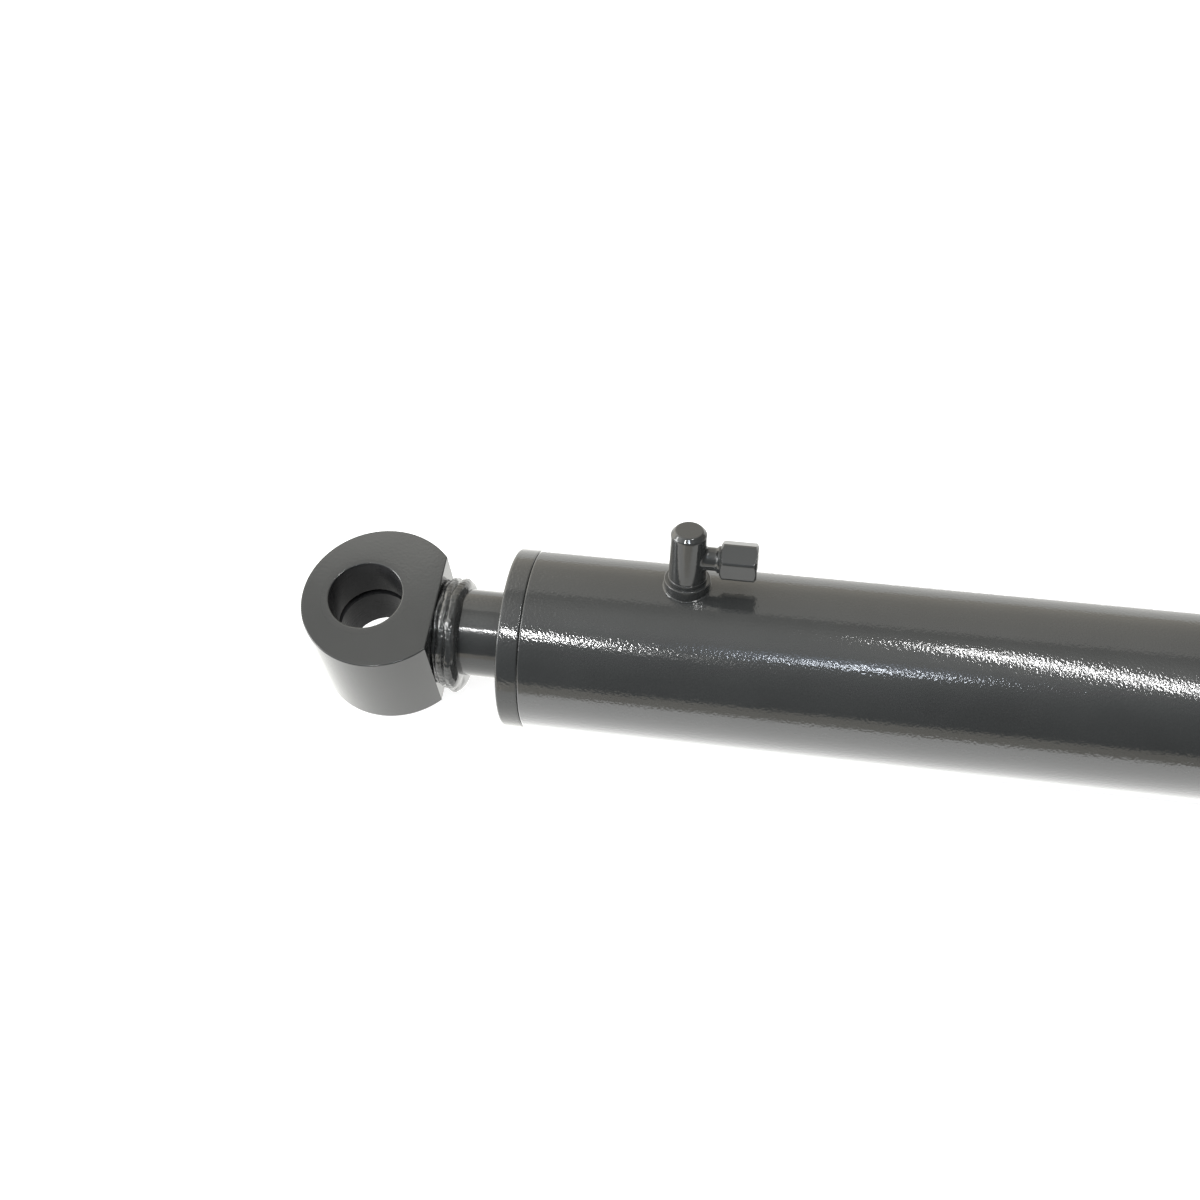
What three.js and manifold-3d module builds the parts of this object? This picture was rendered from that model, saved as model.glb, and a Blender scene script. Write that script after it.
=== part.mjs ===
// Double-acting hydraulic cylinder, retracted, with a welded eye at each end.
// Millimetres. The origin is the centre of the base pin. +X runs from the rod end to the base end
// along the cylinder's axis, and +Z runs along both pin bores.

import * as THREE from 'three';
import { mergeVertices } from 'three/addons/utils/BufferGeometryUtils.js';
import Module from 'manifold-3d';

const wasm = await Module();
wasm.setup();

// ---- driving dimensions -------------------------------------------------------------------
const GAP = 0.3;                 // clearance left between two pieces that touch on the real one
const BORE_R = 40;               // barrel bore radius
const TUBE_R = 46;               // barrel outside radius
const ROD_R = 22.5;              // piston rod radius
const EYE_R = 40.5;              // outside radius of both eyes
const EYE_WIDTH = 55;            // length of both eyes along the pin
const EYE_OFFSET = 7.5;          // the eye's outside circle sits this far from the pin, towards its weld
const PIN_TO_FLAT = 37.2;        // pin centre to the eye's milled flat
const PIN_R = 19;                // bush bore radius
const BUSH_R = 23;               // bush outside radius
const GREASE_GAP = 4;            // between the two bushes of an eye
const ROD_SHOWING = 24.5;        // bare rod between its weld and the gland when retracted
const EYE_WELD = 12.4;           // length of each weld that joins an eye to the rod or the base cap
const GLAND_FLANGE = 11;         // thickness of the gland's outside flange
const GLAND_SEAT = 78;           // gland face to the end of its seat in the tube
const GLAND_NOSE = 100;          // gland face to the end of its nose, where the piston stops
const NOSE_R = 31;               // the nose leaves room for oil from the rod-side port
const STROKE = 400;
const PISTON_LENGTH = 50;
const SPIGOT_R = 16;             // the rod's end that carries the piston
const NUT_LENGTH = 22;           // piston lock nut
const NUT_ACROSS_FLATS = 50;
const END_CLEARANCE = 2;         // rod tip to the base cap when retracted
const CAP_SPIGOT = 8;            // base cap's spigot inside the tube
const CAP_DISC = 15;             // base cap's disc behind the tube
const CAP_STUB_R = 22.5;         // base cap's stub, which its eye is welded to
const ROD_PORT = 89;             // gland face to the rod-side port
const BASE_PORT_INSET = 19;      // tube end back to the base-side port
const PORT_TILT = THREE.MathUtils.degToRad(18);  // port axes lean from +Z towards +Y
const PORT_HOLE_R = 4;
const BOSS_R = 11.4;             // port boss radius
const BOSS_TOP = 50.6;           // boss face, from the cylinder's axis
const SEAL_HEIGHT = 1.5;         // bonded washer under the elbow
const POST_R = 8.7;              // the elbow's upright, at its top
const POST_FOOT_R = 9.3;         // and at its foot
const POST_TOP = 80.1;           // flat top of the elbow, from the cylinder's axis
const POST_CHAMFER = 2.2;        // round the elbow's flat top
const NECK_HEIGHT = 64;          // the elbow's side outlet, from the cylinder's axis
const NECK_R = 5.7;
const CAP_NUT_START = 15.7;      // outlet nut, from the upright's axis
const CAP_NUT_LENGTH = 17.5;
const CAP_NUT_ACROSS_FLATS = 17.5;
const CAP_NUT_CLOCK = THREE.MathUtils.degToRad(3);  // turn of its corner away from the port's axis
const STUB_R = 6.7;              // male threads of the elbow

// ---- places along the axis ----------------------------------------------------------------
const stubEnd = -PIN_TO_FLAT - GAP;
const capBack = stubEnd - EYE_WELD;
const tubeEnd = capBack - CAP_DISC;
const capFace = tubeEnd - CAP_SPIGOT;
const rodTip = capFace - END_CLEARANCE;
const pistonNut = rodTip - 3 - NUT_LENGTH;
const pistonBack = pistonNut - GAP;
const pistonFront = pistonBack - PISTON_LENGTH;
const glandFace = pistonFront - STROKE - GLAND_NOSE;
const weldEnd = glandFace - ROD_SHOWING;
const rodStart = weldEnd - EYE_WELD;
const rodFlat = rodStart - GAP;
const rodPin = rodFlat - PIN_TO_FLAT;

const FINE = 36;                 // facets round the barrel, rod and eyes
const COARSE = 28;               // facets round seals and small rings

const materials = {
  enamel: new THREE.MeshStandardMaterial({ color: 0x3c3d3b, roughness: 0.35, metalness: 0.2 }),
  chrome: new THREE.MeshStandardMaterial({ color: 0xc9ccd0, roughness: 0.15, metalness: 1.0 }),
  steel: new THREE.MeshStandardMaterial({ color: 0x8d9094, roughness: 0.4, metalness: 1.0 }),
  iron: new THREE.MeshStandardMaterial({ color: 0x6a6c6e, roughness: 0.55, metalness: 0.9 }),
  bush: new THREE.MeshStandardMaterial({ color: 0x4a4b4c, roughness: 0.4, metalness: 0.9 }),
  rubber: new THREE.MeshStandardMaterial({ color: 0x191919, roughness: 0.7, metalness: 0.0 }),
  seal: new THREE.MeshStandardMaterial({ color: 0x2f6f8f, roughness: 0.45, metalness: 0.0 }),
  guide: new THREE.MeshStandardMaterial({ color: 0x7a4a2c, roughness: 0.6, metalness: 0.0 }),
};

const cylinder = new THREE.Group();
const piston_packing = new THREE.Group();
const rod_assembly = new THREE.Group();
cylinder.add(piston_packing, rod_assembly);

function add(name, geometry, material, group = cylinder) {
  const mesh = new THREE.Mesh(geometry, materials[material]);
  mesh.name = name;
  group.add(mesh);
  return mesh;
}

// ---- shape helpers ------------------------------------------------------------------------
function bare(geometry) {
  geometry.deleteAttribute('normal');
  geometry.deleteAttribute('uv');
  return mergeVertices(geometry, 1e-4);
}

function faceOut(geometry) {
  const position = geometry.attributes.position;
  const index = geometry.index.array;
  const [a, b, c] = [new THREE.Vector3(), new THREE.Vector3(), new THREE.Vector3()];
  let volume = 0;
  for (let i = 0; i < index.length; i += 3) {
    a.fromBufferAttribute(position, index[i]);
    b.fromBufferAttribute(position, index[i + 1]);
    c.fromBufferAttribute(position, index[i + 2]);
    volume += a.dot(b.cross(c));
  }
  if (volume < 0) {
    for (let i = 0; i < index.length; i += 3) {
      [index[i], index[i + 1]] = [index[i + 1], index[i]];
    }
  }
  return geometry;
}

// Turns a list of [radius, distance] points about an axis: 'x' or 'z'.
function turn(profile, axis = 'x', segments = FINE) {
  const points = profile.map(([r, s]) => new THREE.Vector2(r, s));
  const geometry = bare(new THREE.LatheGeometry(points, segments));
  if (axis === 'x') geometry.rotateZ(-Math.PI / 2);
  if (axis === 'z') geometry.rotateX(Math.PI / 2);
  return faceOut(geometry);
}

function ringProfile(inner, outer, start, end) {
  return [[inner, start], [outer, start], [outer, end], [inner, end], [inner, start]];
}

function ring(inner, outer, start, end, axis = 'x', segments = COARSE) {
  return turn(ringProfile(inner, outer, start, end), axis, segments);
}

// A solid round bar, with a chamfer of its own at each end.
function bar(radius, start, end, axis = 'x', segments = FINE, startChamfer = 0, endChamfer = 0) {
  return turn([
    [0, start], [radius - startChamfer, start], [radius, start + startChamfer],
    [radius, end - endChamfer], [radius - endChamfer, end], [0, end],
  ].filter(([r, s], i, all) => i === 0 || r !== all[i - 1][0] || s !== all[i - 1][1]), axis, segments);
}

// A ring whose section is a circle.
function oRing(middle, section, place, segments = COARSE) {
  const profile = [];
  for (let i = 0; i <= 6; i += 1) {
    const angle = (i / 6) * 2 * Math.PI;
    profile.push([middle + section * Math.cos(angle), place + section * Math.sin(angle)]);
  }
  profile[6] = [...profile[0]];
  return turn(profile, 'x', segments);
}

function toSolid(geometry) {
  return new wasm.Manifold(new wasm.Mesh({
    numProp: 3,
    vertProperties: new Float32Array(geometry.attributes.position.array),
    triVerts: new Uint32Array(geometry.index.array),
  }));
}

function toGeometry(solid) {
  const mesh = solid.getMesh();
  const geometry = new THREE.BufferGeometry();
  geometry.setAttribute('position', new THREE.BufferAttribute(new Float32Array(mesh.vertProperties), 3));
  geometry.setIndex(new THREE.BufferAttribute(new Uint32Array(mesh.triVerts), 1));
  return geometry;
}

function cut(geometry, ...tools) {
  return toGeometry(tools.reduce((solid, tool) => solid.subtract(toSolid(tool)), toSolid(geometry)));
}

function join(geometry, ...others) {
  return toGeometry(others.reduce((solid, other) => solid.add(toSolid(other)), toSolid(geometry)));
}

function hexagon(acrossFlats) {
  const shape = new THREE.Shape();
  const corner = acrossFlats / Math.sqrt(3);
  for (let i = 0; i < 6; i += 1) {
    const angle = (i * Math.PI) / 3;
    shape[i ? 'lineTo' : 'moveTo'](corner * Math.cos(angle), corner * Math.sin(angle));
  }
  shape.closePath();
  return shape;
}

// Extrudes a shape along +Z from z = start.
function extrude(shape, start, depth, curveSegments = 12) {
  const geometry = new THREE.ExtrudeGeometry(shape, { depth, bevelEnabled: false, curveSegments });
  geometry.translate(0, 0, start);
  return faceOut(bare(geometry));
}

// Stands a geometry made along +Z up on a port's axis.
function onPort(geometry) {
  return geometry.clone().rotateX(-PORT_TILT);
}

// ---- eyes ---------------------------------------------------------------------------------
// Outline of an eye about its pin centre, with its flat towards +X.
function eyeOutline(grow = 0) {
  const radius = EYE_R + grow;
  const flat = PIN_TO_FLAT + grow - EYE_OFFSET;
  const angle = Math.acos(flat / radius);
  const outline = new THREE.Shape();
  outline.absarc(EYE_OFFSET, 0, radius, angle, 2 * Math.PI - angle, false);
  outline.closePath();
  return outline;
}

// An eye: a thick round body with a flat milled for its weld, bored for two bushes and drilled
// for a grease nipple on its +Y side. side is +1 with the flat towards +X and -1 towards -X.
function eye(name, x, side, group) {
  const outline = eyeOutline();
  const hole = new THREE.Path();
  hole.absarc(0, 0, BUSH_R + GAP, 0, 2 * Math.PI, true);
  outline.holes.push(hole);
  const body = extrude(outline, -EYE_WIDTH / 2, EYE_WIDTH, FINE / 2);
  const drilling = turn([[0, 0], [3.3, 0], [3.3, EYE_R + 5], [0, EYE_R + 5]], 'z', 12)
    .rotateX(-Math.PI / 2);
  const turned = cut(body, drilling).rotateZ(side > 0 ? 0 : Math.PI);
  if (side < 0) turned.rotateX(Math.PI);
  add(name, turned, 'enamel', group).position.x = x;

  const half = EYE_WIDTH / 2 - GAP;
  const bushes = { top: [GREASE_GAP / 2, half], bottom: [-half, -GREASE_GAP / 2] };
  for (const [place, [low, high]] of Object.entries(bushes)) {
    const bush = ring(PIN_R, BUSH_R, low, high, 'z', FINE);
    add(`${name}_bush_${place}`, bush, 'bush', group).position.x = x;
  }

  const wall = EYE_R;
  const nipple = turn([
    [0, wall - 7], [3, wall - 7], [3, wall + GAP], [4.5, wall + GAP + 0.2], [4.5, wall + 3.5],
    [2.6, wall + 4.2], [2.2, wall + 6.2], [3.3, wall + 7], [3.3, wall + 8], [1.6, wall + 9.6],
    [0, wall + 9.6],
  ], 'z', 12).rotateX(-Math.PI / 2);
  add(`${name}_grease_nipple`, nipple, 'steel', group).position.x = x;
}

// ---- barrel -------------------------------------------------------------------------------
function barrel() {
  const holes = [glandFace + ROD_PORT, tubeEnd - BASE_PORT_INSET].map((x) => (
    onPort(bar(PORT_HOLE_R, BORE_R - 6, TUBE_R + 4, 'z', 16)).translate(x, 0, 0)));
  const tube = ring(BORE_R, TUBE_R, glandFace + GLAND_FLANGE + GAP, tubeEnd, 'x', FINE);
  add('barrel_tube', cut(tube, ...holes), 'enamel');

  add('base_cap', turn([
    [0, capFace], [BORE_R - 1.9, capFace], [BORE_R - 0.4, capFace + 1.5], [BORE_R - 0.4, tubeEnd + GAP],
    [TUBE_R, tubeEnd + GAP], [TUBE_R, capBack - 2], [TUBE_R - 2, capBack], [CAP_STUB_R, capBack],
    [CAP_STUB_R, stubEnd - 5], [CAP_STUB_R - 5, stubEnd], [0, stubEnd],
  ]), 'enamel');
  add('base_cap_weld', turn([
    [TUBE_R + GAP, tubeEnd - 6], [TUBE_R + 1.6, tubeEnd - 3.5], [TUBE_R + 2.1, tubeEnd],
    [TUBE_R + 1.6, tubeEnd + 3.5], [TUBE_R + GAP, tubeEnd + 6], [TUBE_R + GAP, tubeEnd - 6],
  ]), 'enamel');
}

// Three weld passes between the base eye and the cap; the last one also climbs the cap's face.
function baseEyeWeld() {
  const from = (distance) => stubEnd - distance;
  add('base_eye_weld', turn([
    [CAP_STUB_R + GAP, from(0)], [29.4, from(0)], [30.6, from(2)], [28.4, from(4.4)],
    [29.4, from(6.4)], [28.8, from(8.6)], [30.4, from(10.4)], [32.4, capBack + GAP],
    [CAP_STUB_R + GAP, capBack + GAP], [CAP_STUB_R + GAP, from(0)],
  ]), 'enamel');
}

// ---- gland and its seals ------------------------------------------------------------------
// Grooves in the gland's bore, as [start, length, radius], measured from the gland's face.
const glandGrooves = {
  wiper: [0, 7, 29],
  wearFront: [12, 12, 25.6],
  rodSeal: [30, 8.5, 29],
  buffer: [44, 6.5, 28],
  wearRear: [56, 16, 25.6],
};
const GLAND_BORE_R = ROD_R + 0.45;
const STATIC_GROOVE = [44, 7, 35.6];  // groove in the gland's outside for its O-ring and back-up ring

function gland() {
  const at = (x) => glandFace + x;
  const [staticStart, staticLength, staticR] = STATIC_GROOVE;
  const seatR = BORE_R - 0.4;
  const outside = [
    [TUBE_R - 1, at(0)], [TUBE_R, at(1)], [TUBE_R, at(GLAND_FLANGE)], [seatR, at(GLAND_FLANGE)],
    [seatR, at(staticStart)], [staticR, at(staticStart)], [staticR, at(staticStart + staticLength)],
    [seatR, at(staticStart + staticLength)], [seatR, at(GLAND_SEAT)], [NOSE_R, at(GLAND_SEAT + 4)],
    [NOSE_R, at(GLAND_NOSE - GAP)],
  ];
  const bore = [];
  for (const [start, length, radius] of Object.values(glandGrooves).reverse()) {
    bore.push([GLAND_BORE_R, at(start + length)], [radius, at(start + length)], [radius, at(start)]);
    if (start > 0) bore.push([GLAND_BORE_R, at(start)]);
  }
  const noseBore = [GLAND_BORE_R, at(GLAND_NOSE - GAP)];
  const profile = [...outside, noseBore, ...bore, outside[0]];
  add('gland', turn(profile), 'enamel');

  const fill = (groove, inner) => {
    const [start, length, radius] = glandGrooves[groove];
    return ring(inner, radius - GAP, at(start + GAP), at(start + length - GAP));
  };
  add('gland_wear_ring_front', fill('wearFront', ROD_R + GAP), 'guide');
  add('gland_wear_ring_rear', fill('wearRear', ROD_R + GAP), 'guide');
  add('gland_buffer_seal', fill('buffer', ROD_R + GAP), 'seal');

  // The rod seal is a cup, open towards the oil.
  const [sealStart, sealLength, sealR] = glandGrooves.rodSeal;
  const lip = ROD_R + GAP;
  const sealMiddle = (lip + sealR) / 2;
  const heel = at(sealStart + GAP);
  const mouth = at(sealStart + sealLength - GAP);
  add('gland_rod_seal', turn([
    [lip, heel], [sealR - GAP, heel], [sealR - GAP, mouth], [sealR - 1.6, mouth],
    [sealMiddle, at(sealStart + 4)], [lip + 1.3, mouth], [lip, mouth], [lip, heel],
  ], 'x', COARSE), 'seal');

  // The wiper's lip reaches out past its groove and leans in on the rod.
  const [, wiperLength, wiperR] = glandGrooves.wiper;
  add('gland_wiper', turn([
    [lip, at(-1.2)], [lip + 1.2, at(-1.2)], [lip + 2, at(1.5)], [wiperR - GAP, at(1.5)],
    [wiperR - GAP, at(wiperLength - GAP)], [lip + 1, at(wiperLength - GAP)], [lip + 1, at(3.5)],
    [lip, at(-1.2)],
  ], 'x', FINE), 'rubber');

  const ringMiddle = (staticR + BORE_R) / 2;
  add('gland_o_ring', oRing(ringMiddle, 1.85, at(staticStart + 2.4)), 'rubber');
  const backup = ring(staticR + GAP, BORE_R - GAP, at(staticStart + 4.8), at(staticStart + 6.6));
  add('gland_backup_ring', backup, 'seal');
}

// ---- port: boss, washer, elbow and outlet nut ---------------------------------------------
function hexNut(acrossFlats, start, length, holeR, holeDepth, segments) {
  const outline = extrude(hexagon(acrossFlats), start, length);
  const corner = acrossFlats / Math.sqrt(3);
  const flat = acrossFlats / 2 - 0.4;
  const drop = (corner - flat) * 0.55;
  const crown = turn([[0, start], [flat, start], [corner, start + drop], [corner, start + length - drop],
    [flat, start + length], [0, start + length]], 'z', segments);
  const hole = bar(holeR, start - 1, start + holeDepth, 'z', segments);
  return toGeometry(toSolid(outline).intersect(toSolid(crown)).subtract(toSolid(hole)));
}

function port(name, x) {
  const washerBase = BOSS_TOP + GAP;
  const foot = washerBase + SEAL_HEIGHT + GAP;
  const threadEnd = TUBE_R + 1.5;
  const stubBore = PORT_HOLE_R - 0.5;

  const tube = bar(TUBE_R + GAP, -40, 40, 'x', FINE * 2);
  const boss = onPort(ring(STUB_R + GAP, BOSS_R, TUBE_R - 4, BOSS_TOP, 'z', 24));
  add(`${name}_boss`, cut(boss, tube), 'enamel').position.x = x;

  const washer = onPort(ring(STUB_R + GAP, POST_FOOT_R, washerBase, washerBase + SEAL_HEIGHT, 'z', 20));
  add(`${name}_washer`, washer, 'steel').position.x = x;

  // The upright is slightly tapered; its stub is threaded into the boss.
  const post = [
    [0, threadEnd], [STUB_R, threadEnd], [STUB_R, foot], [POST_FOOT_R, foot],
    [POST_R, POST_TOP - POST_CHAMFER], [POST_R - POST_CHAMFER, POST_TOP], [0, POST_TOP],
  ];
  const outletEnd = CAP_NUT_START + 12;
  const outlet = turn([[0, 2], [NECK_R, 2], [NECK_R, CAP_NUT_START - 1], [STUB_R, CAP_NUT_START],
    [STUB_R, outletEnd - 3], [4.6, outletEnd], [0, outletEnd]], 'x', 16).translate(0, 0, NECK_HEIGHT);
  const upBore = bar(stubBore, threadEnd - 1, NECK_HEIGHT, 'z', 10);
  const outBore = bar(stubBore, -2, outletEnd + 1, 'x', 10).translate(0, 0, NECK_HEIGHT);
  const elbow = cut(join(turn(post, 'z', 20), outlet), upBore, outBore);
  add(`${name}_elbow`, onPort(elbow), 'enamel').position.x = x;

  // The hexagon's first corner points along +X, and the quarter turn brings it onto the port's axis.
  const nut = hexNut(CAP_NUT_ACROSS_FLATS, CAP_NUT_START + GAP, CAP_NUT_LENGTH, STUB_R + GAP, 14, 18)
    .rotateY(Math.PI / 2).rotateX(CAP_NUT_CLOCK).translate(0, 0, NECK_HEIGHT);
  add(`${name}_nut`, onPort(nut), 'enamel').position.x = x;
}

// ---- rod, piston and packing --------------------------------------------------------------
function rod() {
  const neck = 1.2;
  add('rod', turn([
    [0, rodStart], [ROD_R - 5, rodStart], [ROD_R, rodStart + 5], [ROD_R, pistonFront - GAP - 2],
    [ROD_R - 2, pistonFront - GAP], [SPIGOT_R - neck, pistonFront - GAP], [SPIGOT_R - neck, pistonFront + 2],
    [SPIGOT_R, pistonFront + 4], [SPIGOT_R, rodTip - 2], [SPIGOT_R - 2, rodTip], [0, rodTip],
  ]), 'chrome', rod_assembly);

  // Three weld passes side by side, each a low ridge.
  add('rod_eye_weld', turn([
    [ROD_R + GAP, rodStart], [29.4, rodStart], [30.6, rodStart + 2], [28.4, rodStart + 4.4],
    [29.2, rodStart + 6.2], [28.6, rodStart + 8.8], [27, rodStart + 10.6], [24.6, weldEnd],
    [ROD_R + GAP, weldEnd], [ROD_R + GAP, rodStart],
  ]), 'enamel', rod_assembly);
}

// Grooves in the piston, as [start, length, radius], measured from its front face.
const pistonGrooves = { front: [4, 10, 37], seal: [20, 10, 33.5], rear: [36, 10, 37] };
const PISTON_R = BORE_R - 0.6;
const PISTON_O_RING = [23, 4, 18.9];  // groove in the piston's bore

function piston() {
  const at = (x) => pistonFront + x;
  const profile = [[PISTON_R - 1, at(0)], [PISTON_R, at(1)]];
  for (const [start, length, radius] of Object.values(pistonGrooves)) {
    const end = start + length;
    profile.push([PISTON_R, at(start)], [radius, at(start)], [radius, at(end)], [PISTON_R, at(end)]);
  }
  const [grooveStart, grooveLength, grooveR] = PISTON_O_RING;
  const boreR = SPIGOT_R + GAP;
  profile.push(
    [PISTON_R, at(PISTON_LENGTH - 1)], [PISTON_R - 1, at(PISTON_LENGTH)], [boreR, at(PISTON_LENGTH)],
    [boreR, at(grooveStart + grooveLength)], [grooveR, at(grooveStart + grooveLength)],
    [grooveR, at(grooveStart)], [boreR, at(grooveStart)], [boreR, at(0)], profile[0],
  );
  add('piston', turn(profile), 'iron', rod_assembly);
  const oRingPlace = at(grooveStart + grooveLength / 2);
  add('piston_o_ring', oRing((SPIGOT_R + grooveR) / 2, 1.15, oRingPlace), 'rubber', rod_assembly);

  const nut = hexNut(NUT_ACROSS_FLATS, 0, NUT_LENGTH, SPIGOT_R + GAP, NUT_LENGTH + 1, FINE);
  add('piston_lock_nut', nut.rotateY(Math.PI / 2), 'steel', rod_assembly).position.x = pistonNut;

  for (const place of ['front', 'rear']) {
    const [start, length, radius] = pistonGrooves[place];
    const guide = ring(radius + GAP, BORE_R - GAP, at(start + GAP), at(start + length - GAP), 'x', FINE);
    add(`piston_wear_ring_${place}`, guide, 'guide', piston_packing);
  }
  const [start, length, radius] = pistonGrooves.seal;
  const seat = (radius + BORE_R) / 2;
  const energizer = ring(radius + GAP, seat, at(start + 1.5), at(start + length - 1.5), 'x', FINE);
  add('piston_seal_energizer', energizer, 'rubber', piston_packing);
  const face = ring(seat + GAP, BORE_R - GAP, at(start + GAP), at(start + length - GAP), 'x', FINE);
  add('piston_seal', face, 'seal', piston_packing);
}

barrel();
baseEyeWeld();
eye('base_eye', 0, -1, cylinder);
gland();
port('rod_port', glandFace + ROD_PORT);
port('base_port', tubeEnd - BASE_PORT_INSET);
rod();
piston();
eye('rod_eye', rodPin, 1, rod_assembly);

export default cylinder;
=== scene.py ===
"""Looks for a double-acting hydraulic cylinder. Lengths are millimetres until a mesh is made from them."""
import math

import bmesh
import bpy
import numpy as np
from mathutils import Matrix, Vector, noise


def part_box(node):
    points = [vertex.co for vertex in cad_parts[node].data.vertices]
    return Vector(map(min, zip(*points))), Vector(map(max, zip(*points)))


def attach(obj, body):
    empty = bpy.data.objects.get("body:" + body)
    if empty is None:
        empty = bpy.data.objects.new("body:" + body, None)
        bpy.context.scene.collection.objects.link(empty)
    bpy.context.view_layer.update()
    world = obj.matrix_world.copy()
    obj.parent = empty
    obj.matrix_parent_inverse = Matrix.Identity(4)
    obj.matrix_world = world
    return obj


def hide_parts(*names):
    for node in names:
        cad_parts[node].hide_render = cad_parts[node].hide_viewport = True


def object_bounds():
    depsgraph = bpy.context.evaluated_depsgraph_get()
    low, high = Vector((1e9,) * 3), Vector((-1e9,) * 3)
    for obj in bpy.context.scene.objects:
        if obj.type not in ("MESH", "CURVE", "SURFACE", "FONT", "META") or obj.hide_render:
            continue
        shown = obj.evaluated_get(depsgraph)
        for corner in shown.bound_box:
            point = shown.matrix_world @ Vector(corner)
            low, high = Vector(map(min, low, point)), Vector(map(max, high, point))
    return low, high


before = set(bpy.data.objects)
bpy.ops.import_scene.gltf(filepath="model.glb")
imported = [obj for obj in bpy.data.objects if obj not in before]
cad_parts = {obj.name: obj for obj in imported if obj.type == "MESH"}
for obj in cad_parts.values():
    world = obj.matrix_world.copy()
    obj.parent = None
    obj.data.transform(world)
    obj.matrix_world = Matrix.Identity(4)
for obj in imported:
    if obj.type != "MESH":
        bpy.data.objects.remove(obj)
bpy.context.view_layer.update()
MM = 0.001


# ---- places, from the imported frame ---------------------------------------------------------
def box(node):
    """Lowest and highest corner of a CAD node, in millimetres."""
    low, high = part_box(node)
    return np.array(low) / MM, np.array(high) / MM


def middle(node):
    low, high = box(node)
    return (low + high) / 2


tube_low, tube_high = box("barrel_tube")
gland_low, gland_high = box("gland")
cap_low, cap_high = box("base_cap")
rod_low, rod_high = box("rod")
TUBE_R = tube_high[1]
ROD_R = rod_high[1]
GLAND_FACE = gland_low[0]
GAP = 0.3                       # clearance between CAD pieces that touch on the real cylinder
BORE_R = 40.0

EYE_HALF = box("rod_eye")[1][2]
EYE_R = box("rod_eye")[1][1]
PIN_R = 19.0
BUSH_R = (box("rod_eye_bush_top")[1] - box("rod_eye_bush_top")[0])[1] / 2
ROD_PIN = middle("rod_eye_bush_top")[0]
BASE_PIN = middle("base_eye_bush_top")[0]
FLAT = box("rod_eye")[1][0] - ROD_PIN            # pin centre to the eye's milled flat
EYE_OFFSET = EYE_R - (ROD_PIN - box("rod_eye")[0][0])
WELD_LENGTH = box("rod_eye_weld")[1][0] - box("rod_eye")[1][0]
WELD_LEAN = math.radians(216)   # the way the welds sag, from +Z towards -Y
GREASE_HALF = 2.0               # half of the gap between an eye's two bushes
CAP_STUB_R = 22.5

PORT_TILT = math.radians(18)
BOSS_R = 11.4
BOSS_TOP = 50.6
WASHER = 1.5
POST_FOOT = BOSS_TOP + WASHER + 2 * GAP
POST_FOOT_R = 9.3
POST_TOP = 80.1
POST_R = 8.7
POST_CHAMFER = 2.2              # down the side
POST_CHAMFER_IN = 2.0           # across the top
NECK_HEIGHT = 64.0
NECK_R = 5.7
NECK_END = 17.0
STUB_R = 6.7
COLLAR_START = 14.3
COLLAR_END = 17.7               # inside the nut
NUT_START = 15.7
NUT_LENGTH = 17.5
NUT_FLATS = 17.5
NUT_CLOCK = math.radians(3)


# ---- mesh helpers --------------------------------------------------------------------------
def soften(points, steps=4):
    """A section with its corners rounded. A point is (a, b) or (a, b, radius)."""
    out = []
    count = len(points)
    for i, point in enumerate(points):
        here = np.array(point[:2], float)
        radius = point[2] if len(point) > 2 else 0
        if not radius:
            out.append(tuple(here))
            continue
        before = np.array(points[i - 1][:2], float) - here
        after = np.array(points[(i + 1) % count][:2], float) - here
        reach_a, reach_b = np.linalg.norm(before), np.linalg.norm(after)
        before, after = before / reach_a, after / reach_b
        half = math.acos(max(-1.0, min(1.0, float(before @ after)))) / 2
        cut = min(radius / math.tan(half), 0.48 * reach_a, 0.48 * reach_b)
        start, end = here + before * cut, here + after * cut
        for k in range(steps + 1):
            t = k / steps
            out.append(tuple(start * (1 - t) ** 2 + here * 2 * t * (1 - t) + end * t * t))
    return out


def angles(count):
    return np.linspace(0, 2 * math.pi, count, endpoint=False)


def ring_x(turn, x, radius):
    """Points round the X axis at angles turn, counted from +Z towards +Y."""
    return np.stack([0 * turn + x, radius * np.sin(turn), radius * np.cos(turn)], 1)


def round_x(profile, segments):
    """Rings about the X axis from a section of (distance, radius)."""
    return [ring_x(angles(segments), x, r) if r > 0 else np.array([[x, 0, 0]]) for x, r in profile]


def round_z(profile, segments):
    """Rings about the Z axis from a section of (height, radius)."""
    return [ring[:, [1, 2, 0]] for ring in round_x(profile, segments)]


def skin(rings, loop=False):
    """A bmesh through rings of points. A one-point ring is a pole; loop joins the last ring to the first."""
    bm = bmesh.new()
    rows = [[bm.verts.new(point) for point in ring] for ring in rings]
    pairs = list(zip(rows, rows[1:])) + ([(rows[-1], rows[0])] if loop else [])
    for a, b in pairs:
        count = max(len(a), len(b))
        for i in range(count):
            j = (i + 1) % count
            corners = [a[i % len(a)], a[j % len(a)], b[j % len(b)], b[i % len(b)]]
            bm.faces.new(list(dict.fromkeys(corners)))
    if not loop:
        for row in (rows[0], rows[-1]):
            if len(row) > 1:
                bm.faces.new(row)
    return bm


def on_port(x):
    """Stands a shape made along +Z up on a port's axis, which meets the cylinder's axis at x."""
    return Matrix.Translation((x, 0, 0)) @ Matrix.Rotation(-PORT_TILT, 4, "X")


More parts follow.
